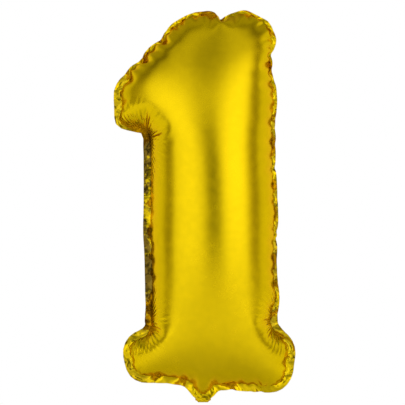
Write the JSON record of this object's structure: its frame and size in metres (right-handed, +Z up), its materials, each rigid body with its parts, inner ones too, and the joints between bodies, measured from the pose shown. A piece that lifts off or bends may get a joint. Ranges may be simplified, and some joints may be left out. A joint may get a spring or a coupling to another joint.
{
  "type": "foil number balloon",
  "caption": "Inflated foil balloon shaped as the numeral one, with a sealed flange all round and a filling tail folded behind its neck.",
  "frame": {"origin": "centre of the object's bounding box, which is in the plane of the seam", "axes": "+X to the numeral's right as read, +Y through it from the front panel to the back panel, +Z up along the stem"},
  "size_m": [0.1726, 0.1094, 0.3736],
  "materials": {
    "satin_gold_film": "metallised film under a gold lacquer, satin",
    "mirror_gold_film": "metallised film under a gold lacquer, mirror-like and crinkled",
    "fused_film": "heat-sealed gold film, finely crinkled",
    "clear_film": "thin translucent polyethylene"
  },
  "bodies": {
    "envelope": {"front_panel": "satin_gold_film", "back_panel": "mirror_gold_film", "perimeter_seal": "fused_film", "valve_front_film": "clear_film", "valve_back_film": "clear_film"},
    "tail": {"tail_front_film": "satin_gold_film", "tail_back_film": "mirror_gold_film", "tail_seal_left": "fused_film", "tail_seal_right": "fused_film"}
  },
  "joints": [
    {"name": "tail_fold", "type": "hinge", "parent": "envelope", "child": "tail", "pos_m": [-0.00177, 0, -0.18577], "axis": [1, 0, 0], "range_deg": [-170, 10]}
  ]
}
